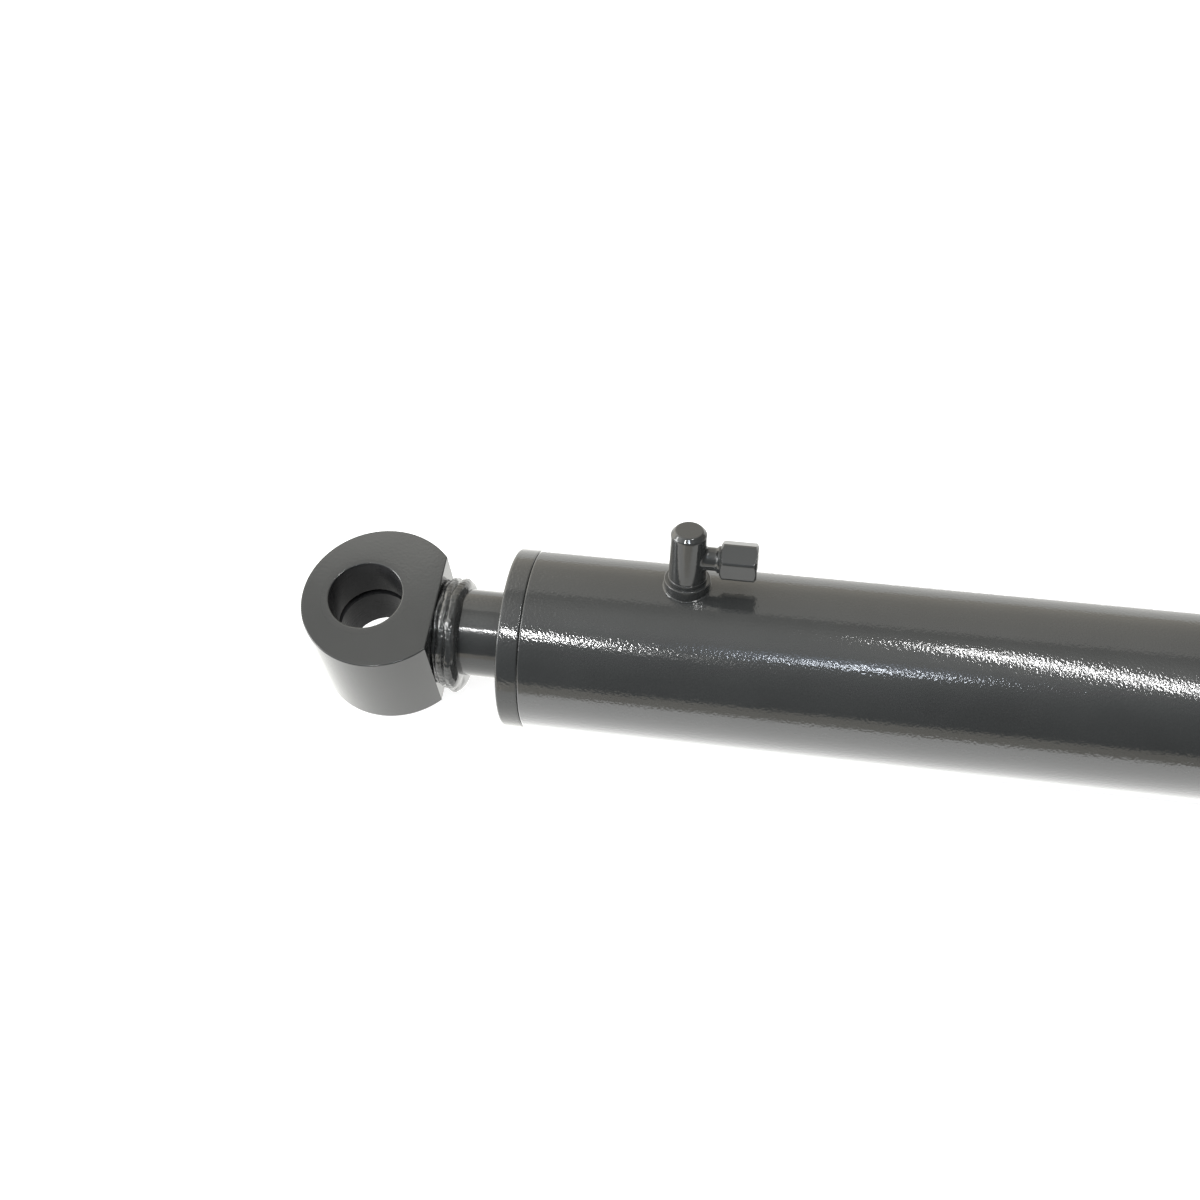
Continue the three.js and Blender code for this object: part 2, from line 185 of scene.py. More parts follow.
def piece(name, bm, body, materials, nodes=(), place=None, sharp=32, choose=None):
    """Turns a bmesh in millimetres into a finished piece in metres."""
    if place is not None:
        bmesh.ops.transform(bm, matrix=place, verts=bm.verts)
    bmesh.ops.recalc_face_normals(bm, faces=bm.faces)
    if choose:
        for face in bm.faces:
            face.material_index = choose(face)
    limit = math.radians(sharp)
    for edge in bm.edges:
        edge.smooth = not (len(edge.link_faces) == 2 and edge.calc_face_angle(0) > limit)
    for face in bm.faces:
        face.smooth = True
    bmesh.ops.scale(bm, vec=(MM, MM, MM), verts=bm.verts)
    mesh = bpy.data.meshes.new(name)
    bm.to_mesh(mesh)
    bm.free()
    obj = bpy.data.objects.new(name, mesh)
    bpy.context.scene.collection.objects.link(obj)
    for material in materials if isinstance(materials, (list, tuple)) else [materials]:
        mesh.materials.append(material)
    weighted = obj.modifiers.new("weighted_normals", "WEIGHTED_NORMAL")
    weighted.keep_sharp = True
    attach(obj, body)
    if nodes:
        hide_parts(*nodes)
    return obj


def grain(point, size, seed=0.0):
    """Smooth noise from -1 to 1 with lumps of the given size, in millimetres."""
    return noise.noise(Vector(point) / size + Vector((seed, 3.7 * seed, -1.3 * seed)))


# ---- materials -----------------------------------------------------------------------------
class Finish:
    """A node material around one Principled shader."""

    def __init__(self, name, **sockets):
        self.material = bpy.data.materials.new(name)
        self.material.use_nodes = True
        self.tree = self.material.node_tree
        self.shader = self.tree.nodes["Principled BSDF"]
        for key, value in sockets.items():
            self.shader.inputs[key.replace("_", " ")].default_value = value
        self.coords = self.tree.nodes.new("ShaderNodeTexCoord").outputs["Object"]
        self.normal = None

    def link(self, a, b):
        self.tree.links.new(a, b)
        return b

    def math(self, operation, a, b, c=None):
        node = self.tree.nodes.new("ShaderNodeMath")
        node.operation = operation
        for socket, value in zip(node.inputs, (a, b, c)):
            if value is None:
                continue
            if isinstance(value, (int, float)):
                socket.default_value = value
            else:
                self.link(value, socket)
        return node.outputs[0]

    def noise(self, size, detail=2.0, stretch=(1, 1, 1)):
        """Noise whose lumps are about size millimetres across."""
        mapping = self.tree.nodes.new("ShaderNodeMapping")
        mapping.inputs["Scale"].default_value = [s / (size * MM) for s in stretch]
        self.link(self.coords, mapping.inputs["Vector"])
        node = self.tree.nodes.new("ShaderNodeTexNoise")
        node.inputs["Scale"].default_value = 1.0
        node.inputs["Detail"].default_value = detail
        self.link(mapping.outputs[0], node.inputs["Vector"])
        return node.outputs["Fac"]

    def spread(self, value, low, high, start=0.3, end=0.7):
        """Maps value from start..end onto low..high, smoothly."""
        node = self.tree.nodes.new("ShaderNodeMapRange")
        node.interpolation_type = "SMOOTHSTEP"
        for key, number in zip(("From Min", "From Max", "To Min", "To Max"), (start, end, low, high)):
            node.inputs[key].default_value = number
        self.link(value, node.inputs["Value"])
        return node.outputs[0]

    def mix(self, factor, a, b):
        node = self.tree.nodes.new("ShaderNodeMix")
        node.data_type = "RGBA"
        self.link(factor, node.inputs["Factor"])
        for socket, value in ((node.inputs["A"], a), (node.inputs["B"], b)):
            if isinstance(value, (tuple, list)):
                socket.default_value = (*value, 1)
            else:
                self.link(value, socket)
        return node.outputs["Result"]

    def color(self, value):
        self.link(value, self.shader.inputs["Base Color"])

    def rough(self, value):
        self.link(value, self.shader.inputs["Roughness"])

    def bump(self, height, depth):
        """Adds relief: height 0..1 stands for depth millimetres."""
        node = self.tree.nodes.new("ShaderNodeBump")
        node.inputs["Distance"].default_value = depth * MM
        self.link(height, node.inputs["Height"])
        if self.normal:
            self.link(self.normal, node.inputs["Normal"])
        self.normal = node.outputs[0]
        for key in ("Normal", "Coat Normal"):
            self.link(self.normal, self.shader.inputs[key])


ENAMEL = (0.026, 0.027, 0.027)


def enamel(name, peel=1.0, lumps=0.0, rough=(0.09, 0.13)):
    """Semi-gloss dark grey enamel with orange peel; lumps adds the relief of a painted weld."""
    f = Finish(name, Coat_Weight=0.6, Coat_Roughness=0.05, Coat_IOR=1.5, IOR=1.45)
    tone = f.spread(f.noise(46, 3), 0, 1)
    f.color(f.mix(tone, tuple(0.92 * c for c in ENAMEL), tuple(1.08 * c for c in ENAMEL)))
    f.rough(f.spread(f.noise(9, 3), *rough))
    f.bump(f.noise(30, 1), 0.04)
    f.bump(f.noise(1.3, 1.5), 0.085 * peel)
    if lumps:
        f.bump(f.noise(0.9, 2), 0.05 * lumps)
    return f.material


def chromed_rod():
    """Ground hard chrome, painted over on the stretch that stays outside the gland."""
    f = Finish("chromed_rod", Coat_Weight=0.6, Coat_Roughness=0.05, Coat_IOR=1.5, IOR=1.45)
    split = f.tree.nodes.new("ShaderNodeSeparateXYZ")
    f.link(f.coords, split.inputs[0])
    ragged = f.math("MULTIPLY_ADD", f.noise(3.2, 2), 0.9 * MM, split.outputs["X"])
    paint_end = (GLAND_FACE + 1.2) * MM
    bare = f.spread(ragged, 0, 1, paint_end, paint_end + 0.15 * MM)
    lines = f.noise(0.35, 2, stretch=(1, 0.02, 0.02))
    chrome = f.mix(f.spread(f.noise(30, 2), 0, 1), (0.50, 0.51, 0.53), (0.56, 0.57, 0.59))
    f.color(f.mix(bare, ENAMEL, chrome))
    f.link(bare, f.shader.inputs["Metallic"])
    f.rough(f.math("ADD", f.spread(lines, 0.02, 0.06), f.spread(bare, 0.11, 0.09, 0, 1)))
    painted = f.math("SUBTRACT", 1.0, bare)
    f.bump(f.math("MULTIPLY", f.noise(1.4, 1.5), painted), 0.035)
    f.bump(painted, 0.06)
    f.bump(lines, 0.0006)
    return f.material


def turned(name, dark, light, rough, metallic=1.0, line=0.4, axis=0, specular=0.5):
    """Turned metal, with fine tool lines round the axis."""
    f = Finish(name, Metallic=metallic, Specular_IOR_Level=specular)
    stretch = [0.03, 0.03, 0.03]
    stretch[axis] = 1
    lines = f.noise(line, 2, stretch=stretch)
    f.color(f.mix(f.spread(f.noise(14, 3), 0, 1), dark, light))
    f.rough(f.math("ADD", f.spread(lines, 0, 0.08), f.spread(f.noise(7, 2), *rough)))
    f.bump(lines, 0.004)
    return f.material


def moulded(name, dark, light, rough, lump=0.5, depth=0.01, sheen=0.0):
    """Rubber or plastic with a fine moulded grain."""
    f = Finish(name, Sheen_Weight=sheen)
    f.color(f.mix(f.spread(f.noise(8, 3), 0, 1), dark, light))
    f.rough(f.spread(f.noise(5, 2), *rough))
    f.bump(f.noise(lump, 3), depth)
    return f.material


PAINT = enamel("enamel")
SMOOTH_PAINT = enamel("enamel_smooth", peel=0.25)
FITTING_PAINT = enamel("enamel_on_fittings", peel=0.4)
WELD_PAINT = enamel("enamel_on_weld", peel=0.5, lumps=0.6, rough=(0.07, 0.15))
CHROME = chromed_rod()
IRON = turned("piston_iron", (0.20, 0.20, 0.205), (0.30, 0.30, 0.305), (0.34, 0.46))
ZINC = turned("plated_steel", (0.42, 0.42, 0.40), (0.55, 0.54, 0.50), (0.26, 0.4), line=0.3, axis=1)
# bore steel kept near black with almost no specular: partly its own dark finish, partly painted shade
# standing in for the shaded table the bore would mirror
SHADED_BORE = turned("bush_steel", (0.016, 0.016, 0.017), (0.030, 0.030, 0.031), (0.22, 0.32),
              metallic=0.0, line=0.5, axis=2, specular=0.05)
RUBBER = moulded("rubber", (0.012, 0.012, 0.012), (0.024, 0.023, 0.022), (0.5, 0.72), sheen=0.15)
SEAL = moulded("polyurethane_seal", (0.02, 0.13, 0.22), (0.03, 0.17, 0.28), (0.3, 0.42),
               lump=0.8, depth=0.004)
GUIDE = moulded("guide_ring", (0.13, 0.065, 0.03), (0.23, 0.12, 0.06), (0.5, 0.65), lump=0.7, depth=0.02)


# ---- barrel, gland and base cap --------------------------------------------------------------
def barrel_tube():
    low, high = tube_low[0] - GAP, tube_high[0] + GAP
    section = soften([(low, TUBE_R, 1.1), (high, TUBE_R, 0.5), (high, BORE_R, 0.6), (low, BORE_R, 1.0)])
    bm = skin(round_x(section, 192), loop=True)
    return piece("barrel_tube_body", bm, "barrel", PAINT, ["barrel_tube"])


def gland_body():
    """The gland: an outside flange, a threaded seat in the tube, and a nose; grooved for its seals."""
    face, end = GLAND_FACE, gland_high[0]
    flange, seat_r, nose_r = 11.0, BORE_R - 0.4, 31.0
    bore = ROD_R + 0.45
    ring_start, ring_end, ring_r = face + 44, face + 51, 35.6
    wiper_end, wiper_r = face + 7, 29
    section = [
        (face, TUBE_R, 1.6), (face + flange, TUBE_R, 1.1), (face + flange, seat_r),
        (ring_start, seat_r), (ring_start, ring_r), (ring_end, ring_r), (ring_end, seat_r),
        (face + 78, seat_r), (face + 82, nose_r, 1), (end, nose_r, 0.8), (end, bore, 0.5),
    ]
    seal_grooves = ((56, 16, 25.6), (44, 6.5, 28), (30, 8.5, 29), (12, 12, 25.6))
    for start, length, radius in seal_grooves:
        section += [(face + start + length, bore), (face + start + length, radius),
                    (face + start, radius), (face + start, bore)]
    section += [(wiper_end, bore), (wiper_end, wiper_r), (face, wiper_r, 0.5)]
    bm = skin(round_x(soften(section), 192), loop=True)
    return piece("gland_body", bm, "barrel", PAINT, ["gland"])


def gland_wiper():
    """The wiper: a rubber ring with a lip that stands out of the gland."""
    face = GLAND_FACE
    lip = ROD_R + 0.12
    back, outside = face + 6.7, 28.9
    section = [
        (face - 1.2, lip), (face - 1.2, lip + 1.0, 0.4), (face + 0.4, lip + 2.0, 0.8),
        (face + 1.0, outside, 0.2), (back, outside), (back, lip + 1), (face + 3.5, lip + 1, 1.0),
    ]
    bm = skin(round_x(soften(section), 128), loop=True)
    return piece("gland_wiper_lip", bm, "barrel", RUBBER, ["gland_wiper"])


def base_cap():
    """The plug that closes the tube, with a stub behind it for the base eye."""
    low, high = cap_low[0], cap_high[0] + GAP
    joint = tube_high[0] + GAP
    back = high - GAP - WELD_LENGTH
    section = [
        (low, 0), (low, BORE_R - 0.4, 1.6), (joint, BORE_R - 0.4), (joint, TUBE_R, 0.6),
        (back, TUBE_R, 2.0), (back, CAP_STUB_R, 0.8), (high, CAP_STUB_R), (high, 0),
    ]
    bm = skin(round_x(soften(section), 192))
    return piece("base_cap_body", bm, "barrel", PAINT, ["base_cap"])


# ---- welds -----------------------------------------------------------------------------------
def bead_ripple(turn, across, radius, pitch, lag):
    """Crescent ripples of a weld pass: sharp on the trailing side. across runs from -1 to 1."""
    count = round(2 * math.pi * radius / pitch)
    phase = count * turn + lag - 2.4 * across * across
    saw = (phase / (2 * math.pi)) % 1.0
    return np.where(saw < 0.8, saw / 0.8, (1 - saw) / 0.2) - 0.5


def roughen(ring, radius, lumps):
    """Lifts each point of a ring about X by its own lump."""
    ring[:, 1:] *= (1 + lumps / radius)[:, None]
    return ring


def weld_pass(turn, d, order, centre, crown, half, sag):
    """Radius of one pass of an eye's weld, at the distance d from the flat."""
    below = np.clip(np.cos(turn - WELD_LEAN), 0, 1) ** 2
    wander = 0.40 * np.sin(3 * turn + 2.1 * order) + 0.22 * np.sin(8 * turn + order)
    across = (d - centre - wander) / half
    hump = crown + sag * below + 0.35 * np.sin(2 * turn + 1.7 * order)
    hump = hump - 0.6 * across ** 2 - 0.25 * across ** 4
    return hump + 0.15 * bead_ripple(turn, across, crown, 2.9, 2.0 * order) * np.exp(-across ** 2)


def eye_weld(name, node, flat, side, passes, body, eccentric):
    """Weld passes between an eye's flat and the bar behind it. side is the way from the flat to the bar.
    A pass is (distance from the flat, crown radius, half width, sag below); eccentric leans them all."""
    length = WELD_LENGTH + GAP
    steps, around = 64, 360
    turn = angles(around)
    rings = []
    for i in range(steps + 1):
        d = length * i / steps
        radius = np.zeros_like(turn)
        for order, one in enumerate(passes):
            radius = np.maximum(radius, weld_pass(turn, d, order, *one))
        radius = radius + eccentric * np.cos(turn - WELD_LEAN)
        ring = ring_x(turn, flat + side * d, radius)
        drawn_out = ring * (3, 1, 1)        # the small lumps are longer round the bead than across it
        lumps = [0.6 * grain(p, 7, 1) + 0.30 * grain(q, 5, 2) + 0.12 * grain(q, 2.6, 3)
                 for p, q in zip(ring, drawn_out)]
        rings.append(roughen(ring, radius, np.array(lumps)))
    inner = ROD_R - 0.1
    for d in (length, 0):
        rings.append(ring_x(turn, flat + side * d, inner))
    bm = skin(rings, loop=True)
    return piece(name, bm, body, WELD_PAINT, [node], sharp=60)


def cap_weld():
    """The low bead that joins the tube and the base cap."""
    centre, half = tube_high[0], 6.0
    steps, around = 32, 420
    turn = angles(around)
    rings = []
    for i in range(steps + 1):
        across = 2 * i / steps - 1
        height = 2.0 * (1 - abs(across) ** 2.2) + 0.22 * np.sin(5 * turn) * (1 - across ** 2)
        height = height + 0.24 * bead_ripple(turn, across, TUBE_R, 3.0, 0) * (1 - across ** 2)
        wander = 0.25 * np.sin(4 * turn) + 0.15 * np.sin(11 * turn)
        radius = TUBE_R - 0.05 + height
        ring = ring_x(turn, centre + half * across + wander, radius)
        lumps = np.array([0.12 * grain(p, 6, 5) + 0.06 * grain(p, 1.6, 6) for p in ring])
        rings.append(roughen(ring, radius, lumps * (1 - across ** 2)))
    for across in (1, -1):
        rings.append(ring_x(turn, centre + half * across, TUBE_R - 0.6))
    bm = skin(rings, loop=True)
    return piece("base_cap_weld_bead", bm, "barrel", WELD_PAINT, ["base_cap_weld"], sharp=60)


# ---- eyes ------------------------------------------------------------------------------------
def eye_outline(count, on_flat=24):
    """(angle, radius) round the pin centre, with the milled flat towards +X."""
    corner = math.atan2(math.sqrt(EYE_R ** 2 - (FLAT - EYE_OFFSET) ** 2), FLAT)
    outline = [(a, FLAT / math.cos(a)) for a in np.linspace(-corner, corner, on_flat, endpoint=False)]
    outline.append((corner, FLAT / math.cos(corner)))
    for a in np.linspace(corner, 2 * math.pi - corner, count - on_flat, endpoint=False)[1:]:
        b = EYE_OFFSET * math.cos(a)
        outline.append((a, b + math.sqrt(b * b - EYE_OFFSET ** 2 + EYE_R ** 2)))
    return outline


def eye_body(name, node, pin, side, body):
    """The eye, with a flat towards the side where the cylinder is and a small round on its rims."""
    outline = eye_outline(216)
    half = EYE_HALF
    bore = BUSH_R + 0.02
    edge, steps = 0.7, 4
    levels = [(-half, None), (half, None)]          # (height, inset from the outline, or None at the bore)
    for sign in (1, -1):
        for k in range(steps + 1):
            t = k / steps * math.pi / 2
            inset, lower = edge * (1 - math.sin(t)), edge * (1 - math.cos(t))
            if sign < 0:
                inset, lower = lower, inset
            levels.append((sign * (half - lower), inset))
    rings = []
    for z, inset in levels:
        radii = [bore if inset is None else r - inset for _, r in outline]
        rings.append(np.array([(pin + side * r * math.cos(a), r * math.sin(a), z)
                               for (a, _), r in zip(outline, radii)]))
    bm = skin(rings, loop=True)
    return piece(name, bm, body, SMOOTH_PAINT, [node], sharp=24)


def eye_bush(name, node, pin, top, body):
    """A bush flush with the eye: enamel over its end face, and inside near-black steel with little shine,
    partly its own dark finish and partly painted shade of the bore.
    """
    low, high = GREASE_HALF, EYE_HALF
    section = soften([(low, BUSH_R), (high, BUSH_R), (high, PIN_R, 0.9), (low, PIN_R, 0.5)])
    rings = [ring * (1, 1, top) + (pin, 0, 0) for ring in round_z(section, 144)]
    bm = skin(rings, loop=True)

    def inside(face):
        centre = face.calc_center_median()
        return 1 if math.hypot(centre.x - pin, centre.y) < PIN_R + 0.35 or abs(centre.z) < 5 else 0

    # the bore and the grease gap take the near-black steel, which is partly painted shade
    return piece(name, bm, body, [SMOOTH_PAINT, SHADED_BORE], [node], choose=inside)


def grease_nipple(name, node, pin, body):
    """A hexagon body with a ball head, standing on the eye's +Y side."""
    around = 72
    turn = angles(around)

    def hexed(height, radius, flats=8.0):
        wrapped = (turn % (math.pi / 3)) - math.pi / 6
        reach = np.minimum(radius, flats / 2 / np.cos(wrapped))
        return np.stack([reach * np.sin(turn), reach * np.cos(turn), 0 * turn + height], 1)

    shank = [(-6.5, 0), (-6.5, 2.6), (-6.0, 3.0), (0.3, 3.0)]
    head = soften([(3.8, 3.1, 0.2), (4.3, 2.5, 0.3), (6.0, 2.2, 0.5), (6.9, 3.2, 0.5), (8.3, 3.1, 0.6),
                   (9.4, 1.5, 0.3)])
    tip = [(9.4, 0.9), (9.0, 0.85), (9.0, 0)]
    rings = round_z(shank, around)
    rings += [hexed(height, radius) for height, radius in ((0.3, 4.1), (0.8, 4.62), (3.3, 4.62), (3.8, 4.1))]
    rings += round_z(head + tip, around)
    place = Matrix.Translation((pin, EYE_R, 0)) @ Matrix.Rotation(math.radians(-90), 4, "X")
    return piece(name, skin(rings), body, ZINC, [node], place)


# ---- rod -------------------------------------------------------------------------------------
def rod_bar():
    """The rod, with a chamfer inside the eye's weld and a spigot for the piston."""
    start, end = rod_low[0] - GAP, rod_high[0]
    chamfer = 5
    shoulder = box("piston")[0][0] - GAP
    spigot, undercut = 16.0, 14.8
    section = [
        (start, 0), (start, ROD_R - chamfer), (start + chamfer, ROD_R), (shoulder, ROD_R, 1.6),
        (shoulder, undercut), (shoulder + 2.3, undercut, 0.5), (shoulder + 4.3, spigot, 0.3),
        (end, spigot, 1.8), (end, 0),
    ]
    bm = skin(round_x(soften(section), 160))
    return piece("rod_bar", bm, "rod_assembly", CHROME, ["rod"])


# ---- ports -----------------------------------------------------------------------------------
def port_boss(name, node, x):
    """A round boss, coped to the tube, with a small fillet weld round its foot."""
    turn = angles(120)

    def saddle(r, lift=0.0):
        y = r * np.sin(turn)
        return np.stack([r * np.cos(turn), y, np.sqrt(TUBE_R ** 2 - y ** 2) + lift], 1)

    def level(r, z):
        return np.stack([r * np.cos(turn), r * np.sin(turn), 0 * turn + z], 1)

    root = 43.0                     # its lower end, inside the tube's wall
    leg, fillet_steps = 0.7, 6
    rim_from = 49.4                 # the rounded rim lies above this height
    ripple = 0.10 * bead_ripple(turn, 0, BOSS_R, 1.9, 0) + 0.08 * np.sin(3 * turn)
    rings = [level(STUB_R, root), level(BOSS_R - 1, root), saddle(BOSS_R + leg + 0.3, -0.35)]
    for k in range(fillet_steps + 1):
        t = k / fillet_steps
        swell = (0.2 + ripple) * math.sin(math.pi * t)
        ring = saddle(BOSS_R + leg * (1 - t))
        ring[:, 2] += leg * t * 0.8 + swell * 0.7
        ring[:, :2] *= (1 + swell * 0.6 / np.hypot(ring[:, 0], ring[:, 1]))[:, None]
        rings.append(ring)
    upper = soften([(rim_from, BOSS_R), (BOSS_TOP, BOSS_R, 0.9), (BOSS_TOP, STUB_R)])[1:]
    rings += [level(r, z) for z, r in upper]
    bm = skin(rings, loop=True)
    return piece(name, bm, "barrel", FITTING_PAINT, [node], on_port(x), sharp=38)


def port_washer(name, node, x):
    inner, outer = STUB_R + 0.1, POST_FOOT_R + 0.2
    section = [(BOSS_TOP, inner), (BOSS_TOP, outer, 0.2), (POST_FOOT, outer, 0.5), (POST_FOOT, inner)]
    bm = skin(round_z(soften(section), 96), loop=True)
    return piece(name, bm, "barrel", FITTING_PAINT, [node], on_port(x))


def smooth_min(a, b, blend):
    """The smaller of two distances, with a fillet where they meet."""
    h = np.clip(0.5 + 0.5 * (b - a) / blend, 0, 1)
    return b * (1 - h) + a * h - blend * h * (1 - h)


def smooth_max(a, b, blend):
    """The larger of two distances, with a round edge where they meet."""
    return -smooth_min(-a, -b, blend)


def elbow_distance(p):
    """Signed distance from the forged elbow: a tapered upright with a chamfered top, and its side neck."""
    x, y, z = p[:, 0], p[:, 1], p[:, 2]
    r = np.hypot(x, y)
    chamfer_start = POST_TOP - POST_CHAMFER
    taper = (POST_R - POST_FOOT_R) * np.clip((z - POST_FOOT) / (chamfer_start - POST_FOOT), 0, 1)
    side = r - POST_FOOT_R - taper
    chamfer = (r - POST_R) * POST_CHAMFER + (z - chamfer_start) * POST_CHAMFER_IN
    chamfer = chamfer / math.hypot(POST_CHAMFER, POST_CHAMFER_IN)
    top = smooth_max(chamfer, z - POST_TOP, 0.35)
    post = smooth_max(np.maximum(side, POST_FOOT - z), top, 0.35)
    from_neck = np.hypot(y, z - NECK_HEIGHT)
    collar = np.maximum(from_neck - STUB_R, np.maximum(COLLAR_START - x, x - COLLAR_END))
    neck = np.maximum(from_neck - NECK_R, np.maximum(-1 - x, x - NECK_END))
    return smooth_min(post, smooth_min(neck, collar, 0.6), 1.6)


def elbow_blank(voxel=0.45):
    """A mesh of an upright and a neck, joined by a voxel remesh."""
    low = BOSS_TOP + WASHER
    upright = [(low, 0), (low, POST_FOOT_R), (POST_TOP, POST_R), (POST_TOP, 0)]
    neck = [(0, 0), (0, NECK_R), (COLLAR_END, STUB_R), (COLLAR_END, 0)]
    blank = bmesh.new()
    for rings, height in ((round_z(upright, 48), 0), (round_x(neck, 40), NECK_HEIGHT)):
        part = skin(rings)
        bmesh.ops.recalc_face_normals(part, faces=part.faces)
        bmesh.ops.translate(part, verts=part.verts, vec=(0, 0, height))
        mesh = bpy.data.meshes.new("blank")
        part.to_mesh(mesh)
        part.free()
        blank.from_mesh(mesh)
        bpy.data.meshes.remove(mesh)
    mesh = bpy.data.meshes.new("blank")
    blank.to_mesh(mesh)
    blank.free()
    obj = bpy.data.objects.new("blank", mesh)
    bpy.context.scene.collection.objects.link(obj)
    remesh = obj.modifiers.new("remesh", "REMESH")
    remesh.mode, remesh.voxel_size = "VOXEL", voxel
    joined = bpy.data.meshes.new_from_object(obj.evaluated_get(bpy.context.evaluated_depsgraph_get()))
    bpy.data.objects.remove(obj)
    return joined


def port_elbow(name, node, x, pulls=8, tiny=1e-3):
    """The forged elbow: a blank pulled onto the surface where its distance is nought."""
    mesh = elbow_blank()
    points = np.array([v.co for v in mesh.vertices])
    for _ in range(pulls):
        value = elbow_distance(points)
        slope = np.stack([(elbow_distance(points + tiny * axis) - value) / tiny for axis in np.eye(3)], 1)
        points = points - 0.9 * value[:, None] * slope / np.maximum((slope ** 2).sum(1), 0.2)[:, None]
    mesh.vertices.foreach_set("co", points.ravel())
    bm = bmesh.new()
    bm.from_mesh(mesh)
    bpy.data.meshes.remove(mesh)
    bmesh.ops.remove_doubles(bm, verts=bm.verts, dist=0.01)
    return piece(name, bm, "barrel", FITTING_PAINT, [node], on_port(x), sharp=50)


def port_nut(name, node, x):
    """The blanking nut: a chamfered hexagon, closed at its end."""
    turn = angles(240)
    wrapped = (turn % (math.pi / 3)) - math.pi / 6
    corner = NUT_FLATS / math.sqrt(3)
    corner_round, face_r = 0.35, NUT_FLATS / 2 - 0.75
    drop, steps = 1.5, 8
    dimple_r, dimple = 4.2, 0.5
    hexagon = np.minimum(NUT_FLATS / 2 / np.cos(wrapped), corner - corner_round)
    start, end = NUT_START, NUT_START + NUT_LENGTH + GAP

    def ring(place, limit):
        reach = np.minimum(hexagon, limit)
        return np.stack([0 * turn + place, reach * np.cos(turn), reach * np.sin(turn)], 1)

    chamfer = [(drop * k / steps, face_r + (corner - face_r) * k / steps) for k in range(steps + 1)]
    rings = [np.array([[start + 0.02, 0, 0]]), ring(start, STUB_R - 0.2)]
    rings += [ring(start + inset, reach) for inset, reach in chamfer]
    rings += [ring(end - inset, reach) for inset, reach in reversed(chamfer)]
    rings += [ring(end, dimple_r), ring(end - dimple, dimple_r - 0.3), np.array([[end - dimple, 0, 0]])]
    place = on_port(x) @ Matrix.Translation((0, 0, NECK_HEIGHT))
    place = place @ Matrix.Rotation(NUT_CLOCK - math.pi / 2, 4, "X")
    return piece(name, skin(rings), "barrel", FITTING_PAINT, [node], place, sharp=22)


# ---- make the object ---------------------------------------------------------------------------
ROD_EYE_PASSES = [(1.2, 27.4, 1.3, -1.2), (4.6, 29.0, 1.9, 0.2), (8.9, 29.1, 2.2, 1.7)]
BASE_EYE_PASSES = [(1.3, 28.4, 1.4, 0), (4.8, 28.9, 1.8, 0.4), (8.8, 29.8, 1.9, 0.6), (12.6, 32.4, 2.2, 0)]

tube = barrel_tube()
gland_body()
gland_wiper()
base_cap()
cap_weld()
rod_flat, base_flat = box("rod_eye")[1][0], box("base_eye")[0][0]
eye_weld("rod_eye_weld_bead", "rod_eye_weld", rod_flat, 1, ROD_EYE_PASSES, "rod_assembly", 1.5)
eye_weld("base_eye_weld_bead", "base_eye_weld", base_flat, -1, BASE_EYE_PASSES, "barrel", 0.5)
for end, pin, side, body in (("rod_eye", ROD_PIN, 1, "rod_assembly"), ("base_eye", BASE_PIN, -1, "barrel")):
    eye_body(end + "_body", end, pin, side, body)
    eye_bush(end + "_bush_upper", end + "_bush_top", pin, 1, body)
    eye_bush(end + "_bush_lower", end + "_bush_bottom", pin, -1, body)
    grease_nipple(end + "_nipple", end + "_grease_nipple", pin, body)
rod_bar()
for port in ("rod_port", "base_port"):
    x = middle(port + "_boss")[0]
    port_boss(port + "_boss_body", port + "_boss", x)
    port_washer(port + "_washer_ring", port + "_washer", x)
    port_elbow(port + "_elbow_body", port + "_elbow", x)
    port_nut(port + "_cap_nut", port + "_nut", x)

INSIDE = {                          # CAD nodes whose shape is right, by their finish
    GUIDE: ["gland_wear_ring_front", "gland_wear_ring_rear", "piston_wear_ring_front",
            "piston_wear_ring_rear"],
    SEAL: ["gland_buffer_seal", "gland_rod_seal", "gland_backup_ring", "piston_seal"],
    RUBBER: ["gland_o_ring", "piston_o_ring", "piston_seal_energizer"],
    IRON: ["piston"],
    ZINC: ["piston_lock_nut"],
}
for material, names in INSIDE.items():
    for name in names:
        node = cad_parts[name]
        node.data.materials.clear()
        node.data.materials.append(material)


# ---- stage, light and camera -------------------------------------------------------------------
TABLE = 1.4                     # how bright the white table is in reflections
TABLE_FAR = 1.1                 # the same, well behind the object
TABLE_GLOW = 1.3                # more of it below the barrel
TABLE_FRONT, TABLE_BACK, TABLE_END = -0.30, 0.14, 1.3
# Room brightness against the angle over the top, from the horizon behind to the horizon in front.
ROOM = [
    (0, 0.95), (18, 0.95), (30, 1.05), (57, 1.2), (60, 0.58), (80, 1.0), (98, 1.05), (118, 0.55),
    (135, 0.28), (155, 0.13), (180, 0.08),
]
ROOM_PEAK = 2.0
# The same along the row: a share of the above against the direction's X, from -1 to 1.
SIDES = [
    (-1, 2.4), (-0.6, 2.4), (-0.5, 1.5), (-0.33, 1.55), (-0.25, 1.75), (-0.215, 1.0), (0.15, 1.0),
    (0.35, 0.85), (0.7, 0.3),
]
SIDES_PEAK = 2.4
BACKDROP = 1.05                 # the room as the camera sees it
LAMP_Z = 1.8
WINDOW_Z = 1.81                 # just above the tubes
CAMERA_LENS = 42.69
CAMERA_TURN = [math.radians(degrees) for degrees in (-14.82, 58.33, -7.05)]     # yaw, pitch down, roll

x0 = GLAND_FACE * MM
CAMERA_AT = Vector((x0 + 0.14107, -0.35165, 0.63498))
floor_z = min(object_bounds()[0].z, tube_low[2] * MM) - 0.0004


